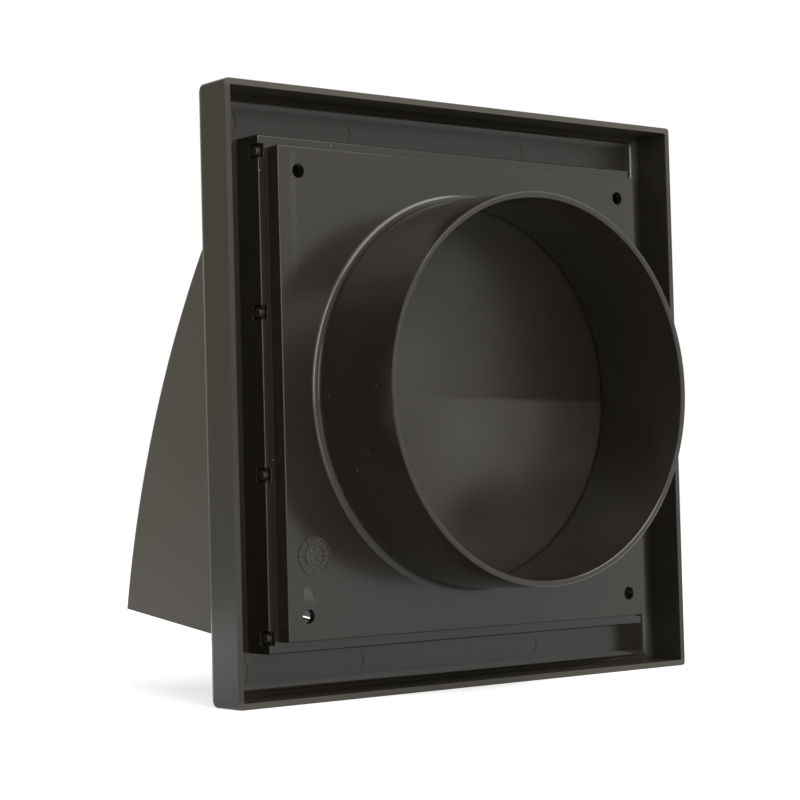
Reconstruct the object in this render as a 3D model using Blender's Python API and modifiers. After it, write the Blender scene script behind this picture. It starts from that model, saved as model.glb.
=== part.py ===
"""Hooded extractor vent: a wall plate with a duct spigot, a backdraught flap and a snap-on hooded cover.

Metres, +Z up. The origin is on the spigot's axis, in the plane of the wall. The spigot points along +Y
into the wall and the hood faces -Y. A place given as a depth is measured from the wall along -Y.
"""

import math

import bpy
import bmesh
from mathutils import Matrix

CLEARANCE = 0.0003
OVERCUT = 0.001

# Duct spigot with a little draft, a fillet around its root and a seat for the flap inside
SPIGOT_RADIUS = 0.06145
SPIGOT_DRAFT = 0.0011
SPIGOT_LENGTH = 0.0356
SPIGOT_WALL = 0.002
SPIGOT_EDGE = 0.0004
ROOT_FILLET = 0.0025
ROOT_FILLET_SINK = 0.00005
SEAT_WIDTH = 0.0014
SEAT_HEIGHT = 0.0006
RING_STEPS = 112

# Wall plate: a raised panel around the spigot, one step down to a ledge, and a skirt
PANEL_MARGIN = 0.01025
PANEL_THICKNESS = 0.0025
STEP_WALL = 0.002
LEDGE_WIDTH = 0.0035
LEDGE_THICKNESS = 0.0016
SKIRT_WALL = 0.0015
SKIRT_DEPTH = 0.0107
PLATE_EDGE_RADIUS = 0.0005
NOTCH_DEPTH = 0.0023
WINDOW_SIDE_CLEARANCE = 0.0006
SCREW_HOLE_RADIUS = 0.0022
SCREW_HOLE_INSET = 0.0076

# Cover: a square frame, bevelled towards the face that carries the hood and filleted inside
COVER_GAP = 0.0133
COVER_DEPTH = 0.0187
COVER_RIM_WALL = 0.0019
COVER_FACE_THICKNESS = 0.0022
COVER_BEVEL_DEPTH = 0.0047
COVER_BEVEL_WIDTH = 0.0036
COVER_EDGE_RADIUS = 0.0012
COVER_FILLET = 0.0036

# Locating wall behind the face, inside the skirt, with a column of snap studs on each side
LOCATING_WALL = 0.0015
STUD_COUNT = 4
STUD_END_INSET = 0.003
STUD_RADIUS = 0.0016
STUD_REACH = 0.0015
STUD_EDGE = 0.0004
STUD_DROP = 0.0011

# Hood: flat sides under a sheet bent to one radius, open at the bottom
HOOD_WALL = 0.0025
HOOD_RADIUS = 0.2965
HOOD_PROJECTION = 0.0699
HOOD_TOP_INSET = 0.0026
HOOD_FOOT_OVERHANG = 0.0007
HOOD_LIP_RISE = 0.009
HOOD_EDGE_RADIUS = 0.0015
HOOD_ARC_STEPS = 28

# Flap: a thin sheet that hangs from two snap lugs on the panel's inner face
FLAP_THICKNESS = 0.0015
FLAP_SIDE_OVERLAP = 0.0027
FLAP_BOTTOM_OVERLAP = 0.0035
HINGE_RISE = 0.008
BARREL_RADIUS = 0.0014
PIN_RADIUS = 0.0012
PIN_END_SETBACK = 0.0002
RIB_WIDTH = 0.0014
EDGE_RIB_DEPTH = 0.003
MIDDLE_RIB_DEPTH = 0.0045
MIDDLE_RIB_HEIGHT = -0.0007
SINK_DEPTH = 0.0002
SINK_REACH = 0.007
SINK_STEPS = 4
BARREL_STEPS = 14

# Lugs: C-shaped bearings that the flap's pins click into
LUG_THICKNESS = 0.0024
LUG_HALF_HEIGHT = 0.0029
LUG_WALL = 0.0012
LUG_MOUTH_HALF = 0.001
LUG_SHOULDER_GAP = 0.0015

ROUND_STEPS = 24
FILLET_STEPS = 6
SHARP_ANGLE = math.radians(30)

# Looks of the mouldings: colour, roughness, metallic
COVER_FINISH = ((0.040, 0.034, 0.029), 0.42, 0.0)
PLATE_FINISH = ((0.036, 0.032, 0.029), 0.36, 0.0)
FLAP_FINISH = ((0.034, 0.031, 0.028), 0.34, 0.0)

# Places that follow from the sizes above; depths run from the wall towards the hood
root_radius = SPIGOT_RADIUS + SPIGOT_DRAFT
fillet_radius = root_radius + ROOT_FILLET
bore_root_radius = root_radius - SPIGOT_WALL
bore_mouth_radius = SPIGOT_RADIUS - SPIGOT_WALL
seat_depth = PANEL_THICKNESS + SEAT_HEIGHT

panel_half = fillet_radius + PANEL_MARGIN
ledge_half = panel_half + LEDGE_WIDTH
notch_half = ledge_half - NOTCH_DEPTH
screw_hole_half = panel_half - SCREW_HOLE_INSET
skirt_inner_half = ledge_half - SKIRT_WALL

rim_inner_half = ledge_half + COVER_GAP
cover_half = rim_inner_half + COVER_RIM_WALL
face_back_depth = COVER_DEPTH - COVER_FACE_THICKNESS
skirt_end_depth = face_back_depth - CLEARANCE
ledge_depth = skirt_end_depth - SKIRT_DEPTH
ledge_underside_depth = ledge_depth + LEDGE_THICKNESS

locating_half = skirt_inner_half - CLEARANCE
opening_half = locating_half - LOCATING_WALL
locating_top_depth = ledge_underside_depth + CLEARANCE
stud_depth = ledge_underside_depth + STUD_DROP
stud_pitch = 2 * (locating_half - STUD_END_INSET) / (STUD_COUNT - 1)

hood_half = opening_half + HOOD_WALL
hood_top_height = opening_half - HOOD_TOP_INSET
hood_foot_height = -(opening_half + HOOD_FOOT_OVERHANG)
hood_lip_height = hood_foot_height + HOOD_LIP_RISE
hood_lip_depth = COVER_DEPTH + HOOD_PROJECTION

flap_back_depth = seat_depth + CLEARANCE
flap_half = bore_root_radius + FLAP_SIDE_OVERLAP
hinge_height = bore_root_radius + HINGE_RISE
hinge_depth = PANEL_THICKNESS + CLEARANCE + BARREL_RADIUS
barrel_half = flap_half - LUG_THICKNESS - CLEARANCE
pin_seat_radius = PIN_RADIUS + CLEARANCE

# Heights on the flap are measured from its hinge
flap_bottom = -(bore_root_radius + FLAP_BOTTOM_OVERLAP) - hinge_height
flap_shoulder = -(LUG_HALF_HEIGHT + LUG_SHOULDER_GAP)
middle_rib = MIDDLE_RIB_HEIGHT - hinge_height


def new_collection(name):
    collection = bpy.data.collections.new(name)
    bpy.context.scene.collection.children.link(collection)
    return collection


def clear_scene():
    for existing in list(bpy.data.objects):
        bpy.data.objects.remove(existing, do_unlink=True)


def add_object(name, mesh, collection):
    part = bpy.data.objects.new(name, mesh)
    collection.objects.link(part)
    if collection == cutters:
        part.hide_render = True
        part.display_type = 'WIRE'
    return part


def blocks(name, corners, collection):
    """Separate boxes in one object, each between a low and a high corner."""
    shape = bmesh.new()
    for low, high in corners:
        size = [b - a for a, b in zip(low, high)]
        centre = [(a + b) / 2 for a, b in zip(low, high)]
        place = Matrix.Translation(centre) @ Matrix.Diagonal((*size, 1))
        bmesh.ops.create_cube(shape, size=1.0, matrix=place)
    mesh = bpy.data.meshes.new(name)
    shape.to_mesh(mesh)
    shape.free()
    return add_object(name, mesh, collection)


def slab(name, half, back_depth, front_depth, collection):
    """A square block centred on the spigot's axis, between two depths from the wall."""
    return blocks(name, [((-half, -front_depth, -half), (half, -back_depth, half))], collection)


def rods(name, radius, spans, axis, collection, steps=ROUND_STEPS):
    """Separate cylinders along X or Y in one object, each from a start to an end."""
    turn = Matrix.Rotation(math.radians(90), 4, 'Y' if axis == 'X' else 'X')
    shape = bmesh.new()
    for start, end in spans:
        middle = [(a + b) / 2 for a, b in zip(start, end)]
        bmesh.ops.create_cone(shape, cap_ends=True, segments=steps, radius1=radius, radius2=radius,
                              depth=math.dist(start, end), matrix=Matrix.Translation(middle) @ turn)
    mesh = bpy.data.meshes.new(name)
    shape.to_mesh(mesh)
    shape.free()
    return add_object(name, mesh, collection)


def side_profile(name, outline, low, high, collection):
    """A closed outline of (y, z) points, drawn as a flat filled curve and carried along X from low to high."""
    curve = bpy.data.curves.new(name + "_outline", 'CURVE')
    curve.dimensions = '2D'
    curve.fill_mode = 'BOTH'
    curve.extrude = (high - low) / 2
    spline = curve.splines.new('POLY')
    spline.points.add(len(outline) - 1)
    for point, (y, z) in zip(spline.points, outline):
        point.co = (y, z, 0, 1)
    spline.use_cyclic_u = True
    drawn = bpy.data.objects.new(name + "_outline", curve)
    bpy.context.scene.collection.objects.link(drawn)
    bpy.context.view_layer.update()
    mesh = bpy.data.meshes.new_from_object(drawn.evaluated_get(bpy.context.evaluated_depsgraph_get()))
    mesh.name = name
    bpy.data.objects.remove(drawn)

    turn = Matrix(((0, 0, 1, (low + high) / 2), (1, 0, 0, 0), (0, 1, 0, 0), (0, 0, 0, 1)))
    shape = bmesh.new()
    shape.from_mesh(mesh)
    bmesh.ops.remove_doubles(shape, verts=shape.verts, dist=0.00001)
    bmesh.ops.transform(shape, matrix=turn, verts=shape.verts)
    bmesh.ops.recalc_face_normals(shape, faces=shape.faces)
    shape.to_mesh(mesh)
    shape.free()
    return add_object(name, mesh, collection)


def turned(name, profile, steps, collection):
    """A closed (radius, height) profile turned about the spigot's axis, heights along +Y."""
    mesh = bpy.data.meshes.new(name)
    shape = bmesh.new()
    corners = [shape.verts.new((radius, 0, height)) for radius, height in profile]
    for first, second in zip(corners, corners[1:] + corners[:1]):
        shape.edges.new((first, second))
    shape.to_mesh(mesh)
    shape.free()
    part = add_object(name, mesh, collection)
    part.rotation_euler = (math.radians(-90), 0, 0)
    screw = part.modifiers.new("turn", 'SCREW')
    screw.axis = 'Z'
    screw.angle = math.tau
    screw.steps = screw.render_steps = steps
    screw.use_merge_vertices = True
    screw.merge_threshold = 0.00001
    return part


def mirror_across(part):
    """The same shape on both sides of the vent's middle plane."""
    mirror = part.modifiers.new("mirror", 'MIRROR')
    mirror.use_axis = (True, False, False)
    mirror.use_mirror_merge = False
    return part


def combine(part, operation, tool):
    boolean = part.modifiers.new(tool.name, 'BOOLEAN')
    boolean.operation = operation
    boolean.solver = 'EXACT'
    boolean.object = tool


def cut(part, *tools):
    for tool in tools:
        combine(part, 'DIFFERENCE', tool)


def join(part, *tools):
    for tool in tools:
        combine(part, 'UNION', tool)


def round_edges(part, radius, steps, chosen):
    """Rounds the edges whose two ends both satisfy chosen, a test on a point of the part's mesh."""
    mesh = part.data
    weights = mesh.attributes.new("bevel_weight_edge", 'FLOAT', 'EDGE')
    for edge in mesh.edges:
        ends = [mesh.vertices[index].co for index in edge.vertices]
        weights.data[edge.index].value = 1.0 if chosen(*ends) else 0.0
    bevel = part.modifiers.new("rounding", 'BEVEL')
    bevel.width = radius
    bevel.segments = steps
    bevel.limit_method = 'WEIGHT'


def raise_front(part, width, depth):
    """Carries the face nearest the hood forwards, on a bevel of this width and depth."""
    shape = bmesh.new()
    shape.from_mesh(part.data)
    front = min(shape.faces, key=lambda face: face.calc_center_median().y)
    bmesh.ops.inset_region(shape, faces=[front], thickness=width, depth=depth, use_even_offset=True)
    shape.to_mesh(part.data)
    shape.free()


def settle(part, material):
    """Fixes the modifiers in the mesh, and shades it smooth up to its sharp edges."""
    bpy.context.view_layer.update()
    evaluated = part.evaluated_get(bpy.context.evaluated_depsgraph_get())
    mesh = bpy.data.meshes.new_from_object(evaluated)
    part.modifiers.clear()
    part.data = mesh
    mesh.name = part.name
    mesh.materials.clear()
    mesh.materials.append(material)
    mesh.shade_smooth()
    mesh.set_sharp_from_angle(angle=SHARP_ANGLE)


def plastic(name, finish):
    colour, roughness, metallic = finish
    material = bpy.data.materials.new(name)
    material.use_nodes = True
    shader = material.node_tree.nodes["Principled BSDF"]
    shader.inputs["Base Color"].default_value = (*colour, 1)
    shader.inputs["Roughness"].default_value = roughness
    shader.inputs["Metallic"].default_value = metallic
    return material


def arc_centre(start, end, radius):
    """The centre of the arc of this radius from start to end that bulges away from the wall."""
    run = (end[0] - start[0], end[1] - start[1])
    chord = math.hypot(*run)
    reach = math.sqrt(radius ** 2 - chord ** 2 / 4)
    middle = ((start[0] + end[0]) / 2, (start[1] + end[1]) / 2)
    return middle[0] - run[1] / chord * reach, middle[1] + run[0] / chord * reach


def arc_points(centre, radius, start_angle, end_angle, steps):
    span = end_angle - start_angle
    angles = [start_angle + span * step / steps for step in range(steps + 1)]
    return [(centre[0] + radius * math.cos(a), centre[1] + radius * math.sin(a)) for a in angles]


def angle_at_height(centre, radius, height):
    """Where the hood's arc, on the side away from the wall, passes a height."""
    return math.pi - math.asin((height - centre[1]) / radius)


def stud_heights():
    middle = (STUD_COUNT - 1) / 2
    return [(number - middle) * stud_pitch for number in range(STUD_COUNT)]


def hood_arc():
    """The centre of the hood's bend as (y, height), and the angle at which the bend ends at the lip."""
    top = (-COVER_DEPTH, hood_top_height)
    lip = (-hood_lip_depth, hood_lip_height)
    centre = arc_centre(top, lip, HOOD_RADIUS)
    return centre, angle_at_height(centre, HOOD_RADIUS, hood_lip_height)


def hood_solid():
    """The hood before it is hollowed: flat sides under the bent sheet, rooted inside the face."""
    centre, lip_angle = hood_arc()
    root = -(face_back_depth + COVER_FACE_THICKNESS / 2)
    root_angle = math.acos((root - centre[0]) / HOOD_RADIUS)
    slope = HOOD_LIP_RISE / HOOD_PROJECTION
    outline = arc_points(centre, HOOD_RADIUS, root_angle, lip_angle, HOOD_ARC_STEPS)
    outline.append((root, hood_foot_height - slope * (root + COVER_DEPTH)))
    hood = side_profile("hood_solid", outline, -hood_half, hood_half, cutters)

    def on_bent_sheet(first, second):
        radii = [math.hypot(end.y - centre[0], end.z - centre[1]) for end in (first, second)]
        same_side = abs(first.x - second.x) < CLEARANCE
        return same_side and all(abs(radius - HOOD_RADIUS) < CLEARANCE / 10 for radius in radii)

    round_edges(hood, HOOD_EDGE_RADIUS, 3, on_bent_sheet)
    return hood


def air_passage():
    """The way through the cover: the square opening behind, the hood's hollow, and out below it."""
    centre, lip_angle = hood_arc()
    inner_radius = HOOD_RADIUS - HOOD_WALL
    below = hood_foot_height - HOOD_LIP_RISE
    top_angle = angle_at_height(centre, inner_radius, opening_half)
    low_angle = angle_at_height(centre, inner_radius, below)
    outline = arc_points(centre, inner_radius, top_angle, low_angle, HOOD_ARC_STEPS)
    sill = opening_half + hood_foot_height
    outline += [(sill - COVER_DEPTH, below), (sill - COVER_DEPTH, hood_foot_height),
                (-COVER_DEPTH, -opening_half), (OVERCUT, -opening_half), (OVERCUT, opening_half)]
    return side_profile("air_passage", outline, -opening_half, opening_half, cutters)


def snap_studs():
    """Round studs on both sides of the locating wall, at an even pitch."""
    start = notch_half + CLEARANCE
    end = locating_half + STUD_REACH
    spans = [((start, -stud_depth, z), (end, -stud_depth, z)) for z in stud_heights()]
    studs = rods("snap_studs", STUD_RADIUS, spans, 'X', cutters)
    round_edges(studs, STUD_EDGE, 2, lambda first, second: min(first.x, second.x) > locating_half)
    return mirror_across(studs)


def front_cover():
    cover = slab("front_cover", cover_half, 0, COVER_DEPTH - COVER_BEVEL_DEPTH, vent)
    raise_front(cover, COVER_BEVEL_WIDTH, COVER_BEVEL_DEPTH)
    round_edges(cover, COVER_EDGE_RADIUS, 3, lambda first, second: min(first.y, second.y) < -CLEARANCE)
    hollow = slab("rim_inside", rim_inner_half, -OVERCUT, face_back_depth, cutters)
    floor = -face_back_depth + CLEARANCE
    round_edges(hollow, COVER_FILLET, FILLET_STEPS,
                lambda first, second: max(first.y, second.y) < floor)
    cut(cover, hollow)
    buried = face_back_depth + COVER_FACE_THICKNESS / 2
    join(cover, slab("locating_wall", locating_half, locating_top_depth, buried, cutters), hood_solid())
    cut(cover, air_passage())
    join(cover, snap_studs())
    return cover


def spigot_ring():
    """The spigot, the fillet at its root and the flap's seat, as one turned ring through the panel."""
    buried = -PANEL_THICKNESS / 2
    edge = SPIGOT_EDGE
    outer = [(SPIGOT_RADIUS - edge, SPIGOT_LENGTH), (SPIGOT_RADIUS, SPIGOT_LENGTH - edge)]
    fillet_centre = (fillet_radius, ROOT_FILLET - ROOT_FILLET_SINK)
    outer += arc_points(fillet_centre, ROOT_FILLET, math.pi, math.pi * 1.5, FILLET_STEPS)
    outer.append((fillet_radius, buried))
    seat = [(bore_root_radius + SEAT_WIDTH, buried), (bore_root_radius + SEAT_WIDTH, -seat_depth),
            (bore_root_radius + edge, -seat_depth), (bore_root_radius, edge - seat_depth)]
    mouth = [(bore_mouth_radius, SPIGOT_LENGTH - edge), (bore_mouth_radius + edge, SPIGOT_LENGTH)]
    return turned("spigot_ring", outer + seat + mouth, RING_STEPS, cutters)


def snap_windows():
    """Notches through the ledge's edge that run on down the skirt as windows for the studs."""
    side = STUD_RADIUS + WINDOW_SIDE_CLEARANCE
    end = -(stud_depth + STUD_RADIUS + CLEARANCE)
    out = ledge_half + OVERCUT
    corners = [((notch_half, end, z - side), (out, OVERCUT, z + side)) for z in stud_heights()]
    return mirror_across(blocks("snap_windows", corners, cutters))


def screw_holes():
    corners = [(i * screw_hole_half, j * screw_hole_half) for i in (-1, 1) for j in (-1, 1)]
    spans = [((x, -PANEL_THICKNESS - OVERCUT, z), (x, OVERCUT, z)) for x, z in corners]
    return rods("screw_holes", SCREW_HOLE_RADIUS, spans, 'Y', cutters)


def flap_lugs():
    """Two C-shaped lugs on the panel's inner face, open towards the hood."""
    centre = (-hinge_depth, hinge_height)
    front = -(hinge_depth + pin_seat_radius + LUG_WALL)
    buried = -PANEL_THICKNESS / 2
    mouth_angle = math.asin(LUG_MOUTH_HALF / pin_seat_radius)
    top = hinge_height + LUG_HALF_HEIGHT
    bottom = hinge_height - LUG_HALF_HEIGHT
    seat = arc_points(centre, pin_seat_radius, math.pi - mouth_angle, -math.pi + mouth_angle, BARREL_STEPS)
    outline = [(front, hinge_height + LUG_MOUTH_HALF)] + seat + [(front, hinge_height - LUG_MOUTH_HALF)]
    outline += [(front, bottom + LUG_WALL), (front + LUG_WALL, bottom), (buried, bottom), (buried, top),
                (front + LUG_WALL, top), (front, top - LUG_WALL)]
    return mirror_across(side_profile("flap_lugs", outline, flap_half - LUG_THICKNESS, flap_half, cutters))


def spigot_plate():
    plate = slab("spigot_plate", panel_half, 0, ledge_depth + LEDGE_THICKNESS / 2, vent)
    wall_side = -CLEARANCE

    def rear_or_corner(first, second):
        at_rear = first.y > wall_side and second.y > wall_side
        along_depth = math.hypot(first.x - second.x, first.z - second.z) < CLEARANCE
        return at_rear or along_depth

    round_edges(plate, PLATE_EDGE_RADIUS, 2, rear_or_corner)
    ledge = slab("ledge_and_skirt", ledge_half, ledge_depth, skirt_end_depth, cutters)
    ledge_side = -(ledge_depth + CLEARANCE)
    round_edges(ledge, PLATE_EDGE_RADIUS, 2,
                lambda first, second: first.y > ledge_side and second.y > ledge_side)
    join(plate, ledge)
    bore = [((0, -COVER_DEPTH, 0), (0, OVERCUT, 0))]
    cut(plate, slab("skirt_inside", skirt_inner_half, ledge_underside_depth, COVER_DEPTH, cutters),
        slab("step_inside", panel_half - STEP_WALL, PANEL_THICKNESS, COVER_DEPTH, cutters),
        rods("bore", bore_root_radius + SEAT_WIDTH / 2, bore, 'Y', cutters, RING_STEPS),
        screw_holes(), snap_windows())
    join(plate, flap_lugs(), spigot_ring())
    return plate


def sink_line(back):
    """The shallow crease that the middle rib leaves in the sheet's duct side, from the bottom up."""
    shares = [step / SINK_STEPS for step in range(-SINK_STEPS, SINK_STEPS + 1)]
    return [(back - SINK_DEPTH * (1 - abs(share)) ** 2, middle_rib + SINK_REACH * share) for share in shares]


def flap_outline(back, front):
    """The flap's section from the side: barrel, sheet, a band as deep as its rim, middle rib and crease."""
    barrel = arc_points((0, 0), BARREL_RADIUS, -math.acos(back / BARREL_RADIUS),
                        math.tau - math.acos(front / BARREL_RADIUS), BARREL_STEPS)
    rim = front - EDGE_RIB_DEPTH
    rib = front - MIDDLE_RIB_DEPTH
    rib_top = middle_rib + RIB_WIDTH / 2
    rib_bottom = middle_rib - RIB_WIDTH / 2
    band = [(front, flap_shoulder), (rim, flap_shoulder), (rim, rib_top), (rib, rib_top),
            (rib, rib_bottom), (rim, rib_bottom), (rim, flap_bottom), (back, flap_bottom)]
    return barrel + band + sink_line(back)


def backdraught_flap():
    """The flap, built around its own hinge axis and then hung on the lugs."""
    back = hinge_depth - flap_back_depth
    front = back - FLAP_THICKNESS
    flap = side_profile("backdraught_flap", flap_outline(back, front), -flap_half, flap_half, vent)
    inside = flap_half - RIB_WIDTH
    deep = front - EDGE_RIB_DEPTH - OVERCUT
    spans = [(flap_bottom + RIB_WIDTH, middle_rib - RIB_WIDTH / 2),
             (middle_rib + RIB_WIDTH / 2, flap_shoulder + OVERCUT)]
    pockets = blocks("flap_pockets", [((-inside, deep, low), (inside, front, high)) for low, high in spans],
                     cutters)
    reach = flap_half + OVERCUT
    top = BARREL_RADIUS + OVERCUT
    corners = mirror_across(blocks("flap_corners", [((barrel_half, deep, flap_shoulder), (reach, top, top))],
                                   cutters))
    pin_end = flap_half - PIN_END_SETBACK
    pins = rods("flap_pins", PIN_RADIUS, [((-pin_end, 0, 0), (pin_end, 0, 0))], 'X', cutters)
    for piece in (flap, pockets, corners, pins):
        piece.location = (0, -hinge_depth, hinge_height)
    cut(flap, pockets, corners)
    join(flap, pins)
    return flap


clear_scene()
vent = new_collection("hooded_extractor_vent")
cutters = new_collection("vent_cutters")
settle(front_cover(), plastic("cover_plastic", COVER_FINISH))
settle(spigot_plate(), plastic("plate_plastic", PLATE_FINISH))
settle(backdraught_flap(), plastic("flap_plastic", FLAP_FINISH))
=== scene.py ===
"""Looks and studio of the hooded extractor vent.

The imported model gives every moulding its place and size. Each operator below finishes one of them, adds
the small marks that the mould leaves in it, or sets up the studio.
"""

import math

import bpy
from bpy.props import FloatProperty, FloatVectorProperty, PointerProperty
from bpy.types import Operator, Panel, PropertyGroup
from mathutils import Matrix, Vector


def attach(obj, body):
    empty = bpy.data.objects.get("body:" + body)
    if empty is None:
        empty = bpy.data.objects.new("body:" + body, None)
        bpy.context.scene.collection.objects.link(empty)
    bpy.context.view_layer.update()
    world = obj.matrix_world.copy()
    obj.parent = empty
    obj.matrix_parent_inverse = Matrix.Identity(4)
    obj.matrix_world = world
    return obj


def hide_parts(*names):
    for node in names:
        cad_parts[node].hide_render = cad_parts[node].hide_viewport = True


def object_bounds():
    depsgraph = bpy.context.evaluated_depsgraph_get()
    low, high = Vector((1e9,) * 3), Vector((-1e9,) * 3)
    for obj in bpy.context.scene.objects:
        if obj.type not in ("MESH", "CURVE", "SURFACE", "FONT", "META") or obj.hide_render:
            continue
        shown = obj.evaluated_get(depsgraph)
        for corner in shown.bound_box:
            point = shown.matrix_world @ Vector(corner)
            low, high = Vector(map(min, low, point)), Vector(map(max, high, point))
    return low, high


bl_info = {
    "name": "Hooded Extractor Vent",
    "version": (1, 0, 0),
    "blender": (4, 5, 0),
    "location": "View3D > Sidebar > Vent",
    "description": "Finishes the mouldings of a hooded extractor vent and sets up its studio",
    "category": "Object",
}

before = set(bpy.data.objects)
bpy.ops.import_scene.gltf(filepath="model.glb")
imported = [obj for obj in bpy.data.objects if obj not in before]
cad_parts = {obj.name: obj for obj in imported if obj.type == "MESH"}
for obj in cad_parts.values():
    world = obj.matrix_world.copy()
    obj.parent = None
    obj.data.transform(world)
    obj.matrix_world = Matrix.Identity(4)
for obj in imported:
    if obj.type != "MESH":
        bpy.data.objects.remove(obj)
cad_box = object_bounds()

MERGE_DISTANCE = 0.00001
FLAT_ANGLE = math.radians(0.4)
SMOOTH_ANGLE = math.radians(32)
BEVEL_ANGLE = math.radians(40)

# A face looks along an axis where its normal is longer than this along it
LOOKING = 0.99

# Lengths are in metres. A spot is an (x, z). A mask's edge is where it starts or ends, and the width over
# which it changes

# Width of a mask's crisp edge
CRISP = 0.00025

# Noise in the plastic's skin, as a scale and a detail, and how much of it goes into the gloss
SLOW_WAVES = (14.0, 3.0)
SLOW_GLOSS = 0.05
MIDDLE_WAVES = (110.0, 3.0)
MIDDLE_GLOSS = 0.04
FINE_GRAIN = (1900.0, 2.0)
FINE_GLOSS = 0.04
GRAIN_DEPTH = 0.00005
COVER_GRAIN = 0.25
INNER_GRAIN = 0.15
PLASTIC_IOR = 1.5

# How much more colour the plastic has where the slow waves are high, and its specks of dust
COLOUR_EDGE = (0.25, 0.625)
COLOUR_GAIN = 1.25
DUST = (0.22, 0.21, 0.19, 1)
DUST_SPECKS = (620.0, 0.0)
DUST_EDGE = (0.87, 0.04)
DUST_SHARE = 0.35

# Where the cover's hood, frame and face lie, and how pale and how matt each becomes. The hood's paleness,
# growing towards its foot, is a painted sheen for the light its matt skin catches, and the level rim's
# paleness is a painted highlight. The hood's edge is measured forwards from the wall and its foot's
# downwards
HOOD_SHEEN_PAINT = (0.064, 0.056, 0.042, 1)
HOOD_EDGE = (0.0192, 0.00033)
HOOD_SIDE = 0.0770
HOOD_BEND = (0.20224, -0.12486)
HOOD_SKIN_RADIUS = 0.2955
HOOD_SHEEN_SHARE = 0.92
HOOD_MATT = 0.22
HOOD_FOOT_EDGE = (0.0167, 0.0833)
HOOD_FOOT_SHEEN_SHARE = 0.65
FRAME_SKIN = cad_box[1][0] - 0.0008
FRAME_MATT = 0.25
RIM_EDGE = (0.0005, 0.0005)
LEVEL_RIM = cad_box[1][0] - 0.0024
LEVEL_RIM_HIGHLIGHT = 0.8
INNER_WALLS = -0.0156
FACE_BACK = -0.0166
FACE_EDGE = (0.00067, 0.00067)
FACE_TOP_EDGE = (-0.1, 0.2)
FACE_MATT = 0.25

# Round marks of the ejector pins on the back of the cover's face, as a spot and a radius
PIN_MARKS = [((0.084, j * 0.0843), 0.005) for j in (-1, 1)]
PIN_MARKS += [((i * 0.037, j * 0.084), 0.0025) for i in (-1, 1) for j in (-1, 1)]
PIN_SOFT = 0.0002
PIN_PALE = 0.12

# The pale colour of real marks and of painted highlights, and the painted highlight line down the wall
# plate's panel, where a slight warp by its edge catches the light
PALE_MARKS_AND_HIGHLIGHTS = (0.095, 0.090, 0.081, 1)
PANEL_REAR = -0.0006
LINE_PLACE = 0.0697
LINE_EDGE = (0.0016, 0.0016)
LINE_FOOT_EDGE = (0.034, 0.0167)
LINE_TOP_EDGE = (0.0745, 0.0025)
LINE_HIGHLIGHT = 0.2
LINE_MATT = 0.05

# Scuffs on the panel, each with its x at the scuffs' start, its slope and its half width
SCUFFS = ((0.0689, 0.10, 0.0007), (0.0678, 0.30, 0.0006), (0.0668, 0.45, 0.0006))
SCUFF_START = -0.0610
SCUFF_MIDDLE = -0.0612
SCUFF_EDGE = (0.0028, 0.0020)
SCUFF_PALE = 0.75

# The mould's dial on the panel: its rings' outer and inner radii, its ticks and the bar in its middle
DIAL_PLACE = (0.0651, 0.0, -0.0496)
DIAL_RINGS = ((0.00595, 0.00555), (0.0036, 0.0033))
DIAL_TICKS = 18
TICK_SPAN = (0.0040, 0.0052)
TICK_WIDTH = 0.0004
MIDDLE_TURN = math.radians(38)
MIDDLE_HALF = 0.0025
MIDDLE_WIDTH = 0.0005

# The dial's speckled field
FIELD_RADIUS = 0.0058
FIELD_SOFT = 0.0003
FIELD_PALE = 0.1
FIELD_MATT = 0.22
FIELD_SPECKS = (1500.0, 1.0)
SPECK_EDGE = (0.47, 0.111)
SPECK_PALE = 0.45

# Spots on the flap, each with the radius where it is full and the width of its soft edge. The upper and
# lower spots are painted highlights, one on each side of the crease; the lobe and the dent only lean the
# sheet
UPPER_HIGHLIGHT = ((0.024, 0.011), 0.002, 0.018)
UPPER_HIGHLIGHT_PALE = 0.14
LOWER_HIGHLIGHT = ((0.001, -0.012), 0.002, 0.020)
LOWER_HIGHLIGHT_EDGE = (-0.001, 0.0005)
LOWER_HIGHLIGHT_PALE = 0.2
LOBE = ((0.0024, 0.0427), 0.002, 0.012)
DENT = ((-0.001, -0.038), 0.0, 0.022)

# How far each part of the flap's sheet leans towards +x. The crease parts the lower from the upper
CREASE_EDGE = (-0.0007, 0.0020)
LOWER_LEAN = 0.05
BY_CREASE_EDGE = (-0.0833, 0.0833)
BY_CREASE_LEAN = 0.05
UPPER_EDGE = (0.0429, 0.0357)
UPPER_LEAN = -0.075
LOBE_LEAN = 0.055
FOOT_EDGE = (-0.022, 0.0167)
FOOT_LEAN = -0.13
DENT_LEAN = -0.16

# Bars across the hood's outlet, each from its (y, z) at the cover's face to its (y, z) at the lip
BAR_COUNT = 12
OPENING_HALF = 0.0755
BAR_BACK = (-0.0182, -0.0762)
BAR_FRONT = (-0.0870, -0.0674)
BAR_TAPER = 0.85
BAR_EASING = 0.0002

# Corners of a round pin and of the floor
PIN_STEPS = 48
FLOOR_STEPS = 96

# The floor: its paint, its varnish behind the wall, its brightness in the plastic's gloss with what is added
# to it in front of the wall, and the width over which it fades far in front
WHITE = (1, 1, 1, 1)
FLOOR_PAINT = (0.82, 0.82, 0.82, 1)
FLOOR_RADIUS = 6.0
VARNISH_ROUGHNESS = 0.05
VARNISH_IOR = 1.5
VARNISH_EDGE = (0.0, 0.125)
REAR_POOL = 0.44
FRONT_POOL = 0.63
POOL_EDGE = (0.0, 0.2)
FLOOR_FADE = 0.0833

# The room: what a direction's x and y add to its near side, and the tint of its far side
NEAR_SIDE = (-0.32, 0.385)
FAR_TINT = (1.0, 0.955, 0.81, 1)

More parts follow.
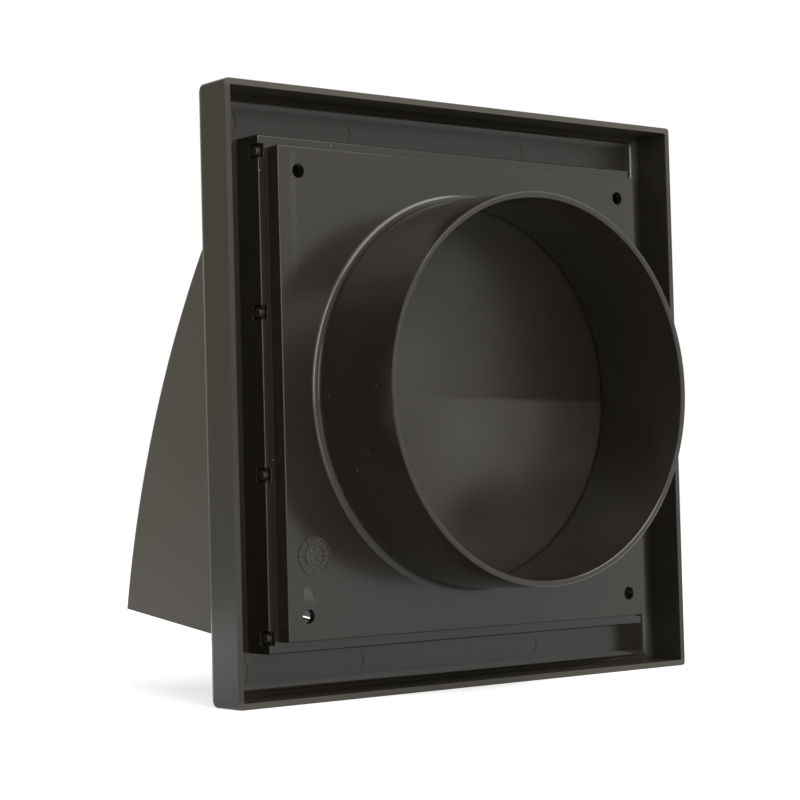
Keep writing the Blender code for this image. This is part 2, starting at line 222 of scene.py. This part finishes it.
# Soft lamps, each with an azimuth and an elevation in degrees, a brightness, a width and a height
SOFTBOXES = (
    ("key_lamp", 70.6, 18, 7.0, 0.32, 1.06),
    ("side_lamp", 8.6, 12, 4.4, 0.24, 0.70),
    ("top_lamp", 105, 54, 4.5, 1.60, 0.70),
)
LAMP_DISTANCE = 1.6

# The camera's sensor, in millimetres, and where its sight begins
SENSOR_WIDTH = 36.0
NEAREST_SEEN = 0.01


class Socket:
    """An output of a shader node that can be used in a Python expression."""

    def __init__(self, tree, value):
        self.tree = tree
        self.value = value

    def __add__(self, other):
        return self.tree.maths('ADD', self, other)

    def __radd__(self, other):
        """Adds to a number; a sum() starts from 0, which needs no node."""
        return self if other == 0 else self.tree.maths('ADD', other, self)

    def __sub__(self, other):
        return self.tree.maths('SUBTRACT', self, other)

    def __rsub__(self, other):
        return self.tree.maths('SUBTRACT', other, self)

    def __mul__(self, other):
        return self.tree.maths('MULTIPLY', self, other)

    def __rmul__(self, other):
        return self.tree.maths('MULTIPLY', other, self)

    def __truediv__(self, other):
        return self.tree.maths('DIVIDE', self, other)

    def __neg__(self):
        return self.tree.maths('MULTIPLY', self, -1.0)

    def __abs__(self):
        return self.tree.maths('ABSOLUTE', self)

    def __pow__(self, other):
        return self.tree.maths('POWER', self, other)


class Shader:
    """A material or world whose nodes are written as expressions."""

    def __init__(self, owner):
        self.owner = owner
        self.owner.use_nodes = True
        self.nodes = owner.node_tree.nodes
        self.links = owner.node_tree.links
        self.nodes.clear()

    def node(self, kind, settings=None, inputs=None, output=0):
        """Adds a node: its settings first, then its sockets' values or links."""
        added = self.nodes.new(kind)
        for key, value in (settings or {}).items():
            setattr(added, key, value)
        for key, value in (inputs or {}).items():
            if isinstance(value, Socket):
                self.links.new(value.value, added.inputs[key])
            else:
                added.inputs[key].default_value = value
        return Socket(self, added.outputs[output]) if added.outputs else added

    def maths(self, operation, *values):
        return self.node("ShaderNodeMath", {"operation": operation}, dict(enumerate(values)))

    def clamp(self, value):
        return self.node("ShaderNodeClamp", inputs={"Value": value})

    def mix(self, factor, first, second):
        """Two colours, mixed by a factor."""
        return self.node("ShaderNodeMix", {"data_type": 'RGBA'}, {0: factor, 6: first, 7: second}, 2)

    def position(self):
        return self.node("ShaderNodeTexCoord", output=3)

    def path(self, kind):
        """Whether a ray is of a kind, such as Is Camera Ray."""
        found = self.node("ShaderNodeLightPath")
        return Socket(self, found.value.node.outputs[kind])

    def apart(self, vector):
        """The three numbers of a vector."""
        split = self.node("ShaderNodeSeparateXYZ", inputs={0: vector})
        outputs = split.value.node.outputs
        return [Socket(self, outputs[index]) for index in range(3)]

    def past(self, value, start, width=CRISP):
        """0 up to a start, rising to 1 over a width beyond it."""
        return self.clamp((value - start) / width)

    def within(self, value, end, width=CRISP):
        """0 from an end on, and 1 from a width before it."""
        return self.clamp((end - value) / width)

    def disc(self, x, z, spot, radius, soft):
        """1 within a radius of a spot on the plan of x and z, falling to 0 over a soft edge."""
        away = ((x - spot[0]) ** 2.0 + (z - spot[1]) ** 2.0) ** 0.5
        return self.within(away, radius + soft, soft)

    def noise(self, vector, scale, detail):
        return self.node("ShaderNodeTexNoise", inputs={"Vector": vector, "Scale": scale, "Detail": detail})

    def bump(self, height, strength, normal=None):
        inputs = {"Height": height, "Strength": strength, "Distance": GRAIN_DEPTH}
        if normal is not None:
            inputs["Normal"] = normal
        return self.node("ShaderNodeBump", inputs=inputs)

    def surface(self, shader, output="ShaderNodeOutputMaterial"):
        """Ends the tree with a shader, and gives back the material or the world."""
        self.node(output, inputs={"Surface": shader})
        return self.owner


def moulded_plastic(name, colour, roughness, grain, marks, pale=PALE_MARKS_AND_HIGHLIGHTS, warp=None):
    """Semi-gloss plastic with the mould's fine grain, slow waves in its gloss and a little dust.

    marks is a function of the shader and its x, y and z that gives how far a spot goes to the pale colour
    and how matt it is; some pale spots are real marks and some are painted highlights and sheen. warp may be
    one that gives how far the surface leans there towards +x.
    """
    shader = Shader(bpy.data.materials.new(name))
    place = shader.position()
    slow = shader.noise(place, *SLOW_WAVES)
    middle = shader.noise(place, *MIDDLE_WAVES)
    fine = shader.noise(place, *FINE_GRAIN)
    dust = shader.past(shader.noise(place, *DUST_SPECKS), *DUST_EDGE)
    strong = [channel * COLOUR_GAIN for channel in colour]
    base = shader.mix(shader.past(slow, *COLOUR_EDGE), (*colour, 1), (*strong, 1))
    gloss = roughness + (slow - 0.5) * SLOW_GLOSS + (middle - 0.5) * MIDDLE_GLOSS \
        + (fine - 0.5) * FINE_GLOSS
    share, matt = marks(shader, *shader.apart(place))
    base = shader.mix(share, base, pale)
    base = shader.mix(dust * DUST_SHARE, base, DUST)
    normal = None
    if warp:
        lean = shader.node("ShaderNodeCombineXYZ", inputs={0: warp(shader, *shader.apart(place))})
        flat = shader.node("ShaderNodeNewGeometry", output=1)
        leaning = shader.node("ShaderNodeVectorMath", {"operation": 'ADD'}, {0: flat, 1: lean})
        normal = shader.node("ShaderNodeVectorMath", {"operation": 'NORMALIZE'}, {0: leaning})
    normal = shader.bump(fine, grain, normal)
    return shader.surface(shader.node("ShaderNodeBsdfPrincipled", inputs={
        "Base Color": base, "Roughness": gloss + matt, "Normal": normal, "IOR": PLASTIC_IOR}))


def cover_marks_and_painted_light(shader, x, y, z):
    """How pale and how matt the cover is from place to place.

    The hood's outer skin is more matt than the polished frame, and it is painted paler, most of all at its
    foot, as a painted sheen for the light that falls on it. The rim that meets the wall and the frame's
    inner walls are matt too, and the rim's top and bottom are painted pale as a painted highlight. The back
    of the face is matt towards its top, and each ejector pin's mark on it a little pale.
    """
    from_bend = ((y - HOOD_BEND[0]) ** 2.0 + (z - HOOD_BEND[1]) ** 2.0) ** 0.5
    outside = shader.past(abs(x), HOOD_SIDE) + shader.past(from_bend, HOOD_SKIN_RADIUS)
    hood = shader.past(-y, *HOOD_EDGE) * shader.clamp(outside)
    foot = shader.past(-z, *HOOD_FOOT_EDGE)
    skin = shader.past(abs(x), FRAME_SKIN) + shader.past(abs(z), FRAME_SKIN)
    rim = shader.within(abs(y), *RIM_EDGE)
    level_rim = rim * shader.past(abs(z), LEVEL_RIM)
    inner = shader.past(y, INNER_WALLS) * (1.0 - shader.clamp(skin + rim))
    face = shader.within(abs(y - FACE_BACK), *FACE_EDGE)
    pins = sum(shader.disc(x, z, spot, radius, PIN_SOFT) for spot, radius in PIN_MARKS)
    # Painted light: the hood's painted sheen, strongest at its foot, and the painted highlight on the rim's
    # top and bottom. The pins' paleness is their own
    pale = hood * (HOOD_SHEEN_SHARE + foot * HOOD_FOOT_SHEEN_SHARE) + level_rim * LEVEL_RIM_HIGHLIGHT + pins * face * PIN_PALE
    matt = hood * HOOD_MATT + (rim + inner) * FRAME_MATT + face * shader.past(z, *FACE_TOP_EDGE) * FACE_MATT
    return pale, matt


def plate_marks_and_highlight(shader, x, y, z):
    """Scuffs by a lower screw hole, a painted highlight line down the panel and the dial's matt, speckled
    field.
    """
    rear = shader.past(y, PANEL_REAR)
    # The line is a painted highlight standing in for the sheen on a slight warp beside the panel's edge
    line = shader.within(abs(x - LINE_PLACE), *LINE_EDGE) \
        * shader.past(z, *LINE_FOOT_EDGE) * shader.within(z, *LINE_TOP_EDGE)
    scuffs = sum(shader.within(abs(x - start - (z - SCUFF_START) * slope), half, half)
                 for start, slope, half in SCUFFS)
    scuffs = scuffs * shader.within(abs(z - SCUFF_MIDDLE), *SCUFF_EDGE)
    field = shader.disc(x, z, (DIAL_PLACE[0], DIAL_PLACE[2]), FIELD_RADIUS, FIELD_SOFT)
    specks = shader.past(shader.noise(shader.position(), *FIELD_SPECKS), *SPECK_EDGE)
    pale = line * LINE_HIGHLIGHT + scuffs * SCUFF_PALE + field * (FIELD_PALE + specks * SPECK_PALE)
    return rear * pale, rear * (line * LINE_MATT + field * FIELD_MATT)


def flap_highlights(shader, x, y, z):
    """Two painted highlights, one above the crease and one below it, no more matt than the rest."""
    upper = shader.disc(x, z, *UPPER_HIGHLIGHT)
    lower = shader.disc(x, z, *LOWER_HIGHLIGHT) * shader.within(z, *LOWER_HIGHLIGHT_EDGE)
    return upper * UPPER_HIGHLIGHT_PALE + lower * LOWER_HIGHLIGHT_PALE, 0.0


def flap_warp(shader, x, y, z):
    """How far the flap's sheet leans towards +x.

    It leans one way below the crease, most of all close to it, and the other way above. The lobe near the
    top leans with the lower part, and the foot and the dent in it with the upper.
    """
    below = shader.within(z, *CREASE_EDGE)
    lower = below * (LOWER_LEAN + shader.past(z, *BY_CREASE_EDGE) * BY_CREASE_LEAN)
    upper = (1.0 - below) * shader.within(z, *UPPER_EDGE) * UPPER_LEAN
    lobe = shader.disc(x, z, *LOBE) * LOBE_LEAN
    foot = shader.within(z, *FOOT_EDGE) * FOOT_LEAN
    dent = shader.disc(x, z, *DENT) * DENT_LEAN
    return lower + upper + lobe + foot + dent


def dressed(piece, material):
    """Gives a piece its one material."""
    piece.data.materials.clear()
    piece.data.materials.append(material)
    return piece


def select_only(piece):
    bpy.ops.object.select_all(action='DESELECT')
    bpy.context.view_layer.objects.active = piece
    piece.select_set(True)


def eased_copy(node, name, easing):
    """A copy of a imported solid: triangles joined to whole faces and sharp edges rounded."""
    piece = bpy.data.objects.new(name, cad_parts[node].data.copy())
    bpy.context.scene.collection.objects.link(piece)
    select_only(piece)
    bpy.ops.object.mode_set(mode='EDIT')
    bpy.ops.mesh.select_all(action='SELECT')
    bpy.ops.mesh.remove_doubles(threshold=MERGE_DISTANCE)
    bpy.ops.mesh.dissolve_limited(angle_limit=FLAT_ANGLE)
    bpy.ops.object.mode_set(mode='OBJECT')
    if easing:
        bevel = piece.modifiers.new("easing", 'BEVEL')
        bevel.width = easing
        bevel.segments = 2
        bevel.limit_method = 'ANGLE'
        bevel.angle_limit = BEVEL_ANGLE
        bpy.ops.object.modifier_apply(modifier=bevel.name)
    return piece


def shaded(piece):
    """Smooth shading up to the sharp edges, with each large flat kept flat."""
    select_only(piece)
    bpy.ops.object.shade_smooth_by_angle(angle=SMOOTH_ANGLE)
    weighted = piece.modifiers.new("weighted", 'WEIGHTED_NORMAL')
    weighted.keep_sharp = True
    bpy.ops.object.modifier_apply(modifier=weighted.name)
    return piece


def joined(pieces, name):
    """Several pieces as one, under a new name."""
    bpy.ops.object.select_all(action='DESELECT')
    for piece in pieces:
        piece.select_set(True)
    bpy.context.view_layer.objects.active = pieces[0]
    bpy.ops.object.join()
    pieces[0].name = name
    return pieces[0]


def placed(piece):
    """Puts the piece's place, turn and size into its mesh."""
    select_only(piece)
    bpy.ops.object.transform_apply(location=True, rotation=True, scale=True)
    return piece


def pin(spot, y, radius, depth):
    """A short round pin along the y axis, half of it on each side of y."""
    bpy.ops.object.select_all(action='DESELECT')
    bpy.ops.mesh.primitive_cylinder_add(vertices=PIN_STEPS, radius=radius, depth=depth,
                                        location=(spot[0], y, spot[1]), rotation=(math.radians(90), 0, 0))
    return bpy.context.object


def face_back():
    """The y of the back of the cover's face: the foremost flat that looks back, inwards of a corner pin."""
    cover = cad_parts["front_cover"].data
    spot = PIN_MARKS[0][0]
    levels = []
    for face in cover.polygons:
        corners = [cover.vertices[index].co for index in face.vertices]
        if face.normal.y > LOOKING and min(abs(corner.x) for corner in corners) < abs(spot[0]):
            levels.append(corners[0].y)
    return min(levels)


def pressed_in(piece, marks, y, depth):
    """Shallow round recesses, each a spot and a radius, in the piece's face at y."""
    cutter = placed(joined([pin(spot, y, radius, 2 * depth) for spot, radius in marks], "pins"))
    select_only(piece)
    sink = piece.modifiers.new("sink", 'BOOLEAN')
    sink.operation = 'DIFFERENCE'
    sink.solver = 'EXACT'
    sink.object = cutter
    bpy.ops.object.modifier_apply(modifier=sink.name)
    bpy.data.objects.remove(cutter)
    return piece


def relief_ring(place, outer, inner, height):
    """A closed flat ring that stands out of the panel along the y axis by its height."""
    ring = pin((place[0], place[2]), place[1], outer, 2 * height)
    bpy.ops.object.mode_set(mode='EDIT')
    bpy.ops.mesh.select_mode(type='FACE')
    bpy.ops.mesh.select_all(action='DESELECT')
    bpy.ops.object.mode_set(mode='OBJECT')
    for face in ring.data.polygons:
        face.select = abs(face.normal.z) > LOOKING
    bpy.ops.object.mode_set(mode='EDIT')
    bpy.ops.mesh.inset(thickness=outer - inner, use_individual=True)
    bpy.ops.mesh.bridge_edge_loops()
    bpy.ops.object.mode_set(mode='OBJECT')
    return placed(ring)


def relief_bar(place, angle, start, end, width, height):
    """A bar with eased edges out of the panel, from one distance to another from a dial's centre."""
    bpy.ops.object.select_all(action='DESELECT')
    bpy.ops.mesh.primitive_cube_add(size=1.0, location=(0, 0, 0))
    bar = bpy.context.object
    bar.scale = (end - start, 2 * height, width)
    middle = (start + end) / 2
    bar.rotation_euler = (0, -angle, 0)
    bar.location = (place[0] + middle * math.cos(angle), place[1], place[2] + middle * math.sin(angle))
    placed(bar)
    bpy.ops.object.mode_set(mode='EDIT')
    bpy.ops.mesh.select_all(action='SELECT')
    bpy.ops.mesh.bevel(offset=height / 3, segments=1)
    bpy.ops.object.mode_set(mode='OBJECT')
    return bar


def mounted(piece, body, slot, *nodes):
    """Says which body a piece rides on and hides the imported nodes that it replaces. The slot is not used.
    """
    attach(piece, body)
    if nodes:
        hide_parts(*nodes)
    return piece


class VentFinish(PropertyGroup):
    """Colours and surface of the mouldings."""
    cover_colour: FloatVectorProperty(
        name="Cover", description="Colour of the cover's plastic", subtype='COLOR', size=3,
        default=(0.0205, 0.0170, 0.0120), min=0.0, max=1.0)
    plate_colour: FloatVectorProperty(
        name="Plate", description="Colour of the wall plate's plastic", subtype='COLOR', size=3,
        default=(0.0160, 0.0127, 0.0086), min=0.0, max=1.0)
    flap_colour: FloatVectorProperty(
        name="Flap", description="Colour of the flap's plastic", subtype='COLOR', size=3,
        default=(0.0165, 0.0128, 0.0078), min=0.0, max=1.0)
    cover_roughness: FloatProperty(
        name="Cover Roughness", description="Roughness of the cover's skin", default=0.18, min=0.0, max=1.0)
    plate_roughness: FloatProperty(
        name="Plate Roughness", description="Roughness of the wall plate", default=0.18, min=0.0, max=1.0)
    flap_roughness: FloatProperty(
        name="Flap Roughness", description="Roughness of the flap", default=0.36, min=0.0, max=1.0)
    edge: FloatProperty(
        name="Edge", description="Rounding of the mouldings' sharp edges", subtype='DISTANCE',
        unit='LENGTH', default=0.00035, min=0.0, max=0.001)
    pin_depth: FloatProperty(
        name="Pin Marks", description="Depth of the ejector pins' marks", subtype='DISTANCE',
        unit='LENGTH', default=0.00018, min=0.0, max=0.001)
    bar_width: FloatProperty(
        name="Bar Width", description="Width of the bars across the outlet", subtype='DISTANCE',
        unit='LENGTH', default=0.0016, min=0.0002, max=0.01)
    bar_height: FloatProperty(
        name="Bar Height", description="Height of the bars across the outlet", subtype='DISTANCE',
        unit='LENGTH', default=0.0024, min=0.0002, max=0.01)
    dial_height: FloatProperty(
        name="Dial Height", description="Height of the mould's dial on the panel", subtype='DISTANCE',
        unit='LENGTH', default=0.0003, min=0.0, max=0.001)


class VentStage(PropertyGroup):
    """Camera and light of the studio."""
    camera_place: FloatVectorProperty(
        name="Camera", description="Where the camera stands", subtype='TRANSLATION', unit='LENGTH',
        size=3, default=(0.4556, 0.5299, -0.02838))
    camera_turn: FloatVectorProperty(
        name="Turn", description="How the camera is turned", subtype='EULER', unit='ROTATION', size=3,
        default=(math.radians(92.2182), math.radians(1.4906), math.radians(141.305)))
    lens: FloatProperty(
        name="Lens", description="Focal length on a 36 mm wide picture", subtype='DISTANCE_CAMERA',
        default=97.357, min=1.0)
    room: FloatProperty(
        name="Room", description="Strength of the light from all around", default=0.46, min=0.0)
    near_gloss: FloatProperty(
        name="Near Side", description="Brightness of the room's near side in the gloss", default=1.16,
        min=0.0)
    far_gloss: FloatProperty(
        name="Far Side", description="Brightness of the room's far side in the gloss", default=0.55,
        min=0.0)
    floor_reach: FloatProperty(
        name="Floor Reach", description="How far in front of the wall the floor is bright in the gloss",
        subtype='DISTANCE', unit='LENGTH', default=0.37, min=0.0)
    floor_glow: FloatProperty(
        name="Floor", description="White added to the floor as it is seen", default=0.62, min=0.0)


class VENT_OT_front_cover(Operator):
    """Finish the front cover, with the ejector pins' marks on the back of its face"""
    bl_idname = "vent.front_cover"
    bl_label = "Front Cover"

    def execute(self, context):
        finish = context.scene.vent_finish
        piece = eased_copy("front_cover", "cover_moulding", finish.edge)
        pressed_in(piece, PIN_MARKS, face_back(), finish.pin_depth)
        shaded(piece)
        dressed(piece, moulded_plastic("cover_brown", finish.cover_colour, finish.cover_roughness,
                                       COVER_GRAIN, cover_marks_and_painted_light, HOOD_SHEEN_PAINT))
        mounted(piece, "vent", "cover_plastic", "front_cover")
        return {'FINISHED'}


class VENT_OT_spigot_plate(Operator):
    """Finish the wall plate, from its panel and skirt to the spigot, and add the mould's dial"""
    bl_idname = "vent.spigot_plate"
    bl_label = "Spigot Plate"

    def execute(self, context):
        finish = context.scene.vent_finish
        piece = shaded(eased_copy("spigot_plate", "plate_moulding", finish.edge))
        dressed(piece, moulded_plastic("plate_brown", finish.plate_colour, finish.plate_roughness,
                                       INNER_GRAIN, plate_marks_and_highlight))
        mounted(piece, "vent", "plate_plastic", "spigot_plate")
        dial = self.dial(finish.dial_height)
        dressed(dial, piece.data.materials[0])
        mounted(dial, "vent", "plate_plastic")
        return {'FINISHED'}

    def dial(self, height):
        """The mould's dial: two rings, a ring of ticks and a bar in the middle."""
        parts = [relief_ring(DIAL_PLACE, outer, inner, height) for outer, inner in DIAL_RINGS]
        for tick in range(DIAL_TICKS):
            turn = math.radians(360 * tick / DIAL_TICKS)
            parts.append(relief_bar(DIAL_PLACE, turn, *TICK_SPAN, TICK_WIDTH, height))
        parts.append(relief_bar(DIAL_PLACE, MIDDLE_TURN, -MIDDLE_HALF, MIDDLE_HALF, MIDDLE_WIDTH, height))
        return joined(parts, "mould_dial")


class VENT_OT_backdraught_flap(Operator):
    """Finish the backdraught flap"""
    bl_idname = "vent.backdraught_flap"
    bl_label = "Backdraught Flap"

    def execute(self, context):
        finish = context.scene.vent_finish
        piece = shaded(eased_copy("backdraught_flap", "flap_moulding", finish.edge))
        dressed(piece, moulded_plastic("flap_brown", finish.flap_colour, finish.flap_roughness,
                                       INNER_GRAIN, flap_highlights, warp=flap_warp))
        mounted(piece, "flap", "flap_plastic", "backdraught_flap")
        return {'FINISHED'}


class VENT_OT_outlet_bars(Operator):
    """Add the light bars that cross the hood's outlet from back to front"""
    bl_idname = "vent.outlet_bars"
    bl_label = "Outlet Bars"

    def execute(self, context):
        finish = context.scene.vent_finish
        first = self.bar(finish.bar_width, finish.bar_height)
        pitch = 2 * OPENING_HALF / (BAR_COUNT + 1)
        bars = [first]
        for number in range(1, BAR_COUNT):
            bar = first.copy()
            bar.data = first.data.copy()
            context.scene.collection.objects.link(bar)
            bar.location.x = pitch * number
            bars.append(bar)
        for bar in bars:
            bar.location.x -= pitch * (BAR_COUNT - 1) / 2
        grid = shaded(placed(joined(bars, "outlet_bars")))
        dressed(grid, bpy.data.materials["cover_brown"])
        mounted(grid, "vent", "cover_plastic")
        return {'FINISHED'}

    def bar(self, width, height):
        """One bar in the middle of the outlet, a little narrower below, with eased edges."""
        run = (BAR_FRONT[0] - BAR_BACK[0], BAR_FRONT[1] - BAR_BACK[1])
        bpy.ops.object.select_all(action='DESELECT')
        bpy.ops.mesh.primitive_cube_add(size=1.0, location=(0, 0, 0))
        bar = bpy.context.object
        bar.scale = (width, math.hypot(*run), height)
        bpy.ops.object.transform_apply(location=False, rotation=False, scale=True)
        for corner in bar.data.vertices:
            corner.co.x *= BAR_TAPER if corner.co.z < 0 else 1.0
        bar.rotation_euler = (math.atan2(run[1], run[0]) - math.pi, 0, 0)
        bar.location = (0, (BAR_BACK[0] + BAR_FRONT[0]) / 2, (BAR_BACK[1] + BAR_FRONT[1]) / 2 + height / 2)
        placed(bar)
        bpy.ops.object.mode_set(mode='EDIT')
        bpy.ops.mesh.select_all(action='SELECT')
        bpy.ops.mesh.bevel(offset=BAR_EASING, segments=2)
        bpy.ops.object.mode_set(mode='OBJECT')
        return bar


class VENT_OT_stage(Operator):
    """Set up the floor, the room's light and the camera"""
    bl_idname = "vent.stage"
    bl_label = "Studio"

    def execute(self, context):
        stage = context.scene.vent_stage
        low = cad_box[0][2]
        bpy.ops.mesh.primitive_circle_add(vertices=FLOOR_STEPS, radius=FLOOR_RADIUS, fill_type='NGON',
                                          location=(0, 0, low))
        floor = context.object
        floor.name = "studio_floor"
        dressed(floor, self.floor_white(stage))
        self.room(context, stage)
        for name, azimuth, elevation, brightness, width, height in SOFTBOXES:
            self.softbox(name, math.radians(azimuth), math.radians(elevation), brightness, width, height)
        camera = bpy.data.cameras.new("photo_camera")
        camera.sensor_width = SENSOR_WIDTH
        camera.lens = stage.lens
        camera.clip_start = NEAREST_SEEN
        viewer = bpy.data.objects.new("photo_camera", camera)
        viewer.location = stage.camera_place
        viewer.rotation_euler = stage.camera_turn
        context.scene.collection.objects.link(viewer)
        context.scene.camera = viewer
        context.scene.view_settings.view_transform = 'Standard'
        return {'FINISHED'}

    def floor_white(self, stage):
        """White paint that the camera sees as white.

        In the plastic's gloss it is brighter in front of the wall than behind it and dim further out, and a
        thin varnish behind the wall shows the lamps.
        """
        shader = Shader(bpy.data.materials.new("studio_white"))
        front = -shader.apart(shader.position())[1]
        pool = REAR_POOL + shader.past(front, *POOL_EDGE) * FRONT_POOL
        shown = shader.clamp(shader.path("Is Camera Ray") + shader.path("Is Transmission Ray")) \
            + shader.path("Is Glossy Ray") * pool
        glow = shader.node("ShaderNodeEmission", inputs={"Strength": shown * stage.floor_glow})
        paint = shader.node("ShaderNodeBsdfDiffuse", inputs={"Color": FLOOR_PAINT})
        white = shader.node("ShaderNodeAddShader", inputs={0: glow, 1: paint})
        varnish = shader.node("ShaderNodeBsdfGlossy", inputs={
            "Color": WHITE, "Roughness": VARNISH_ROUGHNESS})
        glancing = shader.node("ShaderNodeFresnel", inputs={"IOR": VARNISH_IOR})
        glancing = glancing * shader.within(front, *VARNISH_EDGE)
        white = shader.node("ShaderNodeMixShader", inputs={
            0: glancing * shader.path("Is Glossy Ray"), 1: white, 2: varnish})
        far = shader.past(front, stage.floor_reach, FLOOR_FADE)
        dim = shader.node("ShaderNodeEmission", inputs={"Strength": stage.far_gloss})
        return shader.surface(shader.node("ShaderNodeMixShader", inputs={
            0: far * shader.path("Is Glossy Ray"), 1: white, 2: dim}))

    def room(self, context, stage):
        """A white room, plainly lit, whose far side is a little dimmer in the plastic's gloss."""
        world = bpy.data.worlds.new("studio_room")
        context.scene.world = world
        shader = Shader(world)
        away = shader.apart(shader.node("ShaderNodeTexCoord"))
        near = shader.clamp(0.5 + away[0] * NEAR_SIDE[0] + away[1] * NEAR_SIDE[1])
        gloss = shader.path("Is Glossy Ray")
        shown = shader.clamp(shader.path("Is Camera Ray") + shader.path("Is Transmission Ray"))
        mirrored = gloss * (stage.far_gloss + near * (stage.near_gloss - stage.far_gloss))
        plain = (1.0 - shader.clamp(gloss + shown)) * stage.room
        tint = shader.mix(gloss * (1.0 - near), WHITE, FAR_TINT)
        light = shader.node("ShaderNodeBackground", inputs={
            "Color": tint, "Strength": shown + mirrored + plain})
        shader.surface(light, "ShaderNodeOutputWorld")

    def softbox(self, name, azimuth, elevation, brightness, width, height):
        """A soft lamp that stands off from the vent, looks at it and isn't seen by the camera."""
        away = Vector((math.cos(elevation) * math.cos(azimuth), math.cos(elevation) * math.sin(azimuth),
                       math.sin(elevation)))
        lamp = bpy.data.lights.new(name, 'AREA')
        lamp.shape = 'RECTANGLE'
        lamp.size = width
        lamp.size_y = height
        lamp.energy = brightness * math.pi * width * height
        holder = bpy.data.objects.new(name, lamp)
        holder.location = away * LAMP_DISTANCE
        holder.rotation_euler = away.to_track_quat('Z', 'Y').to_euler()
        holder.visible_camera = False
        bpy.context.scene.collection.objects.link(holder)


class VENT_PT_sidebar(Panel):
    """Lists the vent's steps in the 3D view's sidebar"""
    bl_label = "Hooded Extractor Vent"
    bl_idname = "VENT_PT_sidebar"
    bl_space_type = 'VIEW_3D'
    bl_region_type = 'UI'
    bl_category = "Vent"

    def draw(self, context):
        layout = self.layout
        for operator in OPERATORS:
            layout.operator(operator.bl_idname)


OPERATORS = (VENT_OT_front_cover, VENT_OT_spigot_plate, VENT_OT_backdraught_flap, VENT_OT_outlet_bars,
             VENT_OT_stage)
CLASSES = (VentFinish, VentStage, *OPERATORS, VENT_PT_sidebar)


def register():
    for cls in CLASSES:
        bpy.utils.register_class(cls)
    bpy.types.Scene.vent_finish = PointerProperty(type=VentFinish)
    bpy.types.Scene.vent_stage = PointerProperty(type=VentStage)


def unregister():
    del bpy.types.Scene.vent_stage
    del bpy.types.Scene.vent_finish
    for cls in reversed(CLASSES):
        bpy.utils.unregister_class(cls)


def main():
    register()
    bpy.ops.vent.front_cover()
    bpy.ops.vent.spigot_plate()
    bpy.ops.vent.backdraught_flap()
    bpy.ops.vent.outlet_bars()
    bpy.ops.vent.stage()


if __name__ == "__main__":
    main()
